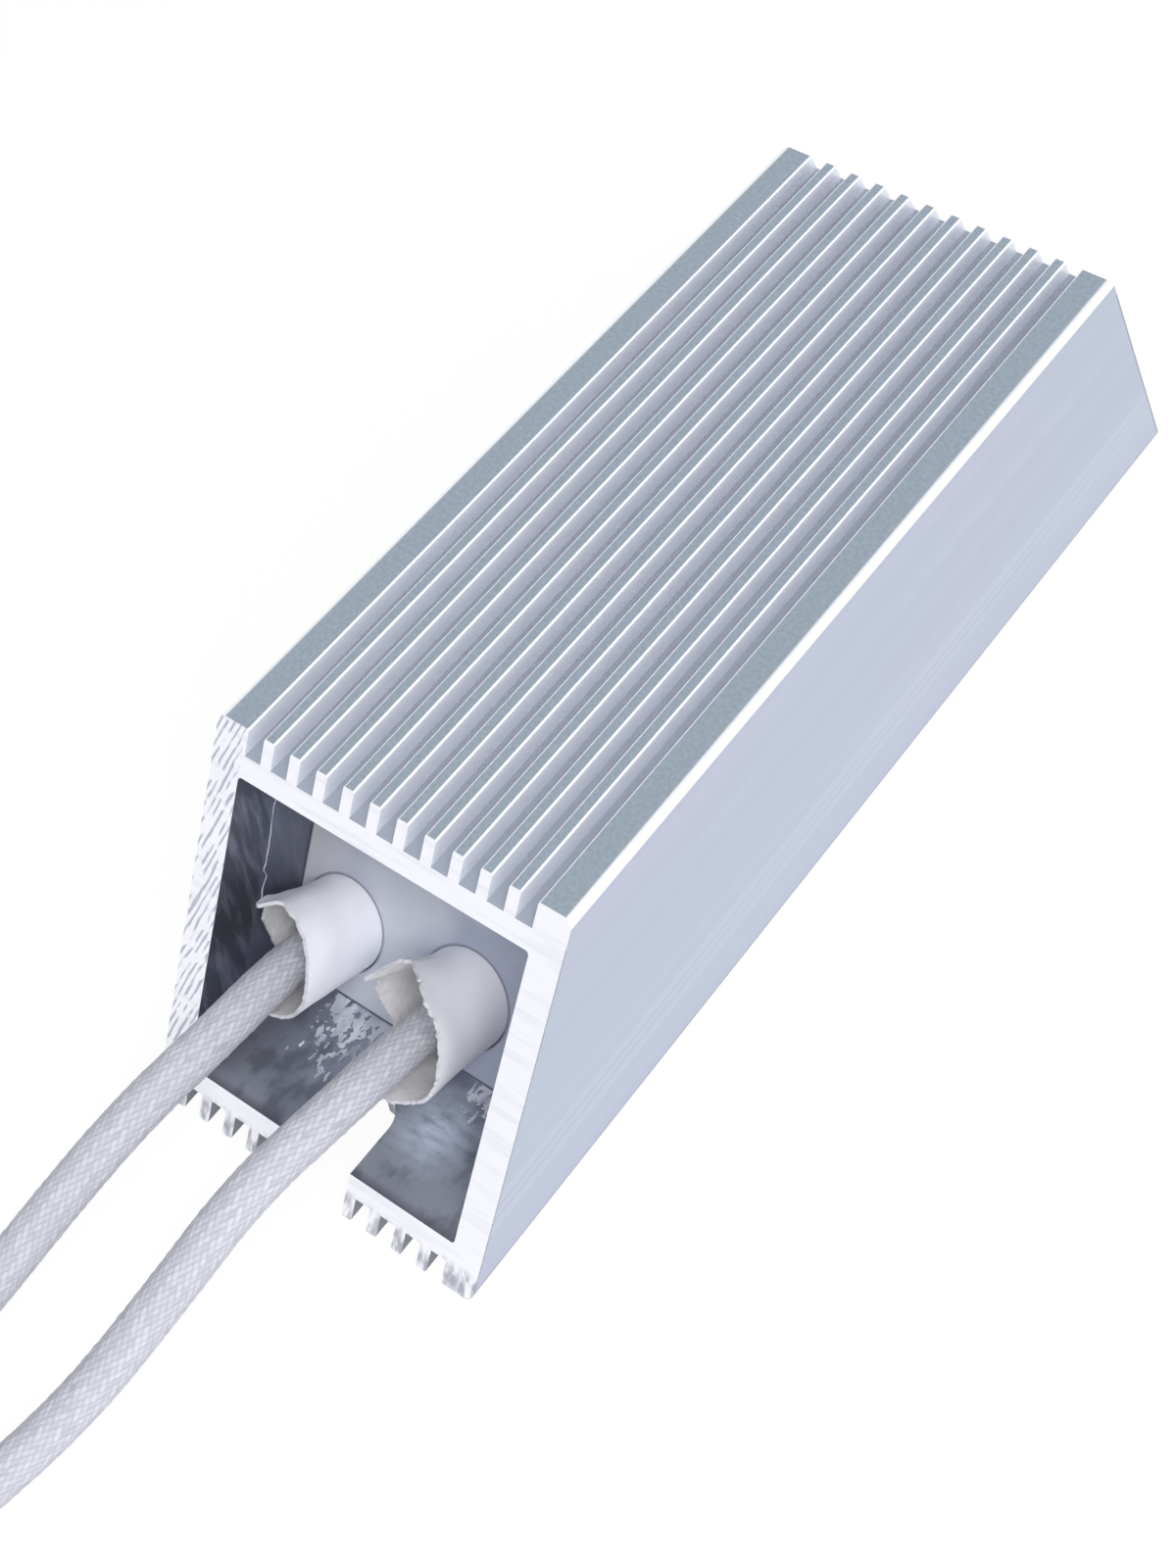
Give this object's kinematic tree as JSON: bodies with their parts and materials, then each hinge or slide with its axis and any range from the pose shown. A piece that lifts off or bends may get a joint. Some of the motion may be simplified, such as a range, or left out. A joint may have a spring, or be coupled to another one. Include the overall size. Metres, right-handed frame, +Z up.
{
  "type": "aluminium housed power resistor",
  "caption": "Wire-wound power resistor in a finned aluminium box housing with slanted sawn ends, screw slots in the base and two braided leads with ring lugs.",
  "frame": {"origin": "bottom centre of the housing, on the plane that its base fins and rails stand on", "axes": "+X across the width, +Y along the length away from the lead end, +Z up from the base"},
  "size_m": [0.0711, 0.3783, 0.06],
  "materials": {
    "housing_aluminium": "clear anodised extrusion, bright sawn ends",
    "seal_compound": "smooth grey potting cement",
    "sand_cement": "bonded quartz sand",
    "mica": "bonded mica board",
    "ceramic": "unglazed steatite",
    "resistance_alloy": "oxidised resistance ribbon",
    "tinned_brass": "tinned",
    "copper": "bare copper strands",
    "tinned_copper": "tin plated",
    "lead_braid": "white glass-fibre braid",
    "sleeve_fabric": "resin-stiffened white glass-fibre cloth",
    "shrink_plastic": "white shrink sleeve"
  },
  "bodies": {
    "root": {"ceramic_former_left": "ceramic", "ceramic_former_right": "ceramic", "conductor_end_left": "copper", "conductor_end_right": "copper", "crimp_ferrule_left": "tinned_brass", "crimp_ferrule_right": "tinned_brass", "far_link_strip": "tinned_brass", "far_seal": "seal_compound", "far_spacer_plate": "mica", "far_terminal_band_left": "tinned_brass", "far_terminal_band_right": "tinned_brass", "housing": "housing_aluminium", "lead_left": "lead_braid", "lead_left_conductor": "copper", "lead_left_in_seal": "lead_braid", "lead_right": "lead_braid", "lead_right_conductor": "copper", "lead_right_in_seal": "lead_braid", "lead_sleeve_left": "sleeve_fabric", "lead_sleeve_right": "sleeve_fabric", "mica_sheet_bottom": "mica", "mica_sheet_left": "mica", "mica_sheet_right": "mica", "mica_sheet_top": "mica", "near_seal": "seal_compound", "near_spacer_plate": "mica", "near_terminal_band_left": "tinned_brass", "near_terminal_band_right": "tinned_brass", "resistance_winding_left": "resistance_alloy", "resistance_winding_right": "resistance_alloy", "ring_lug_left": "tinned_copper", "ring_lug_right": "tinned_copper", "sand_fill": "sand_cement", "shrink_sleeve_left": "shrink_plastic", "shrink_sleeve_right": "shrink_plastic"}
  },
  "joints": []
}
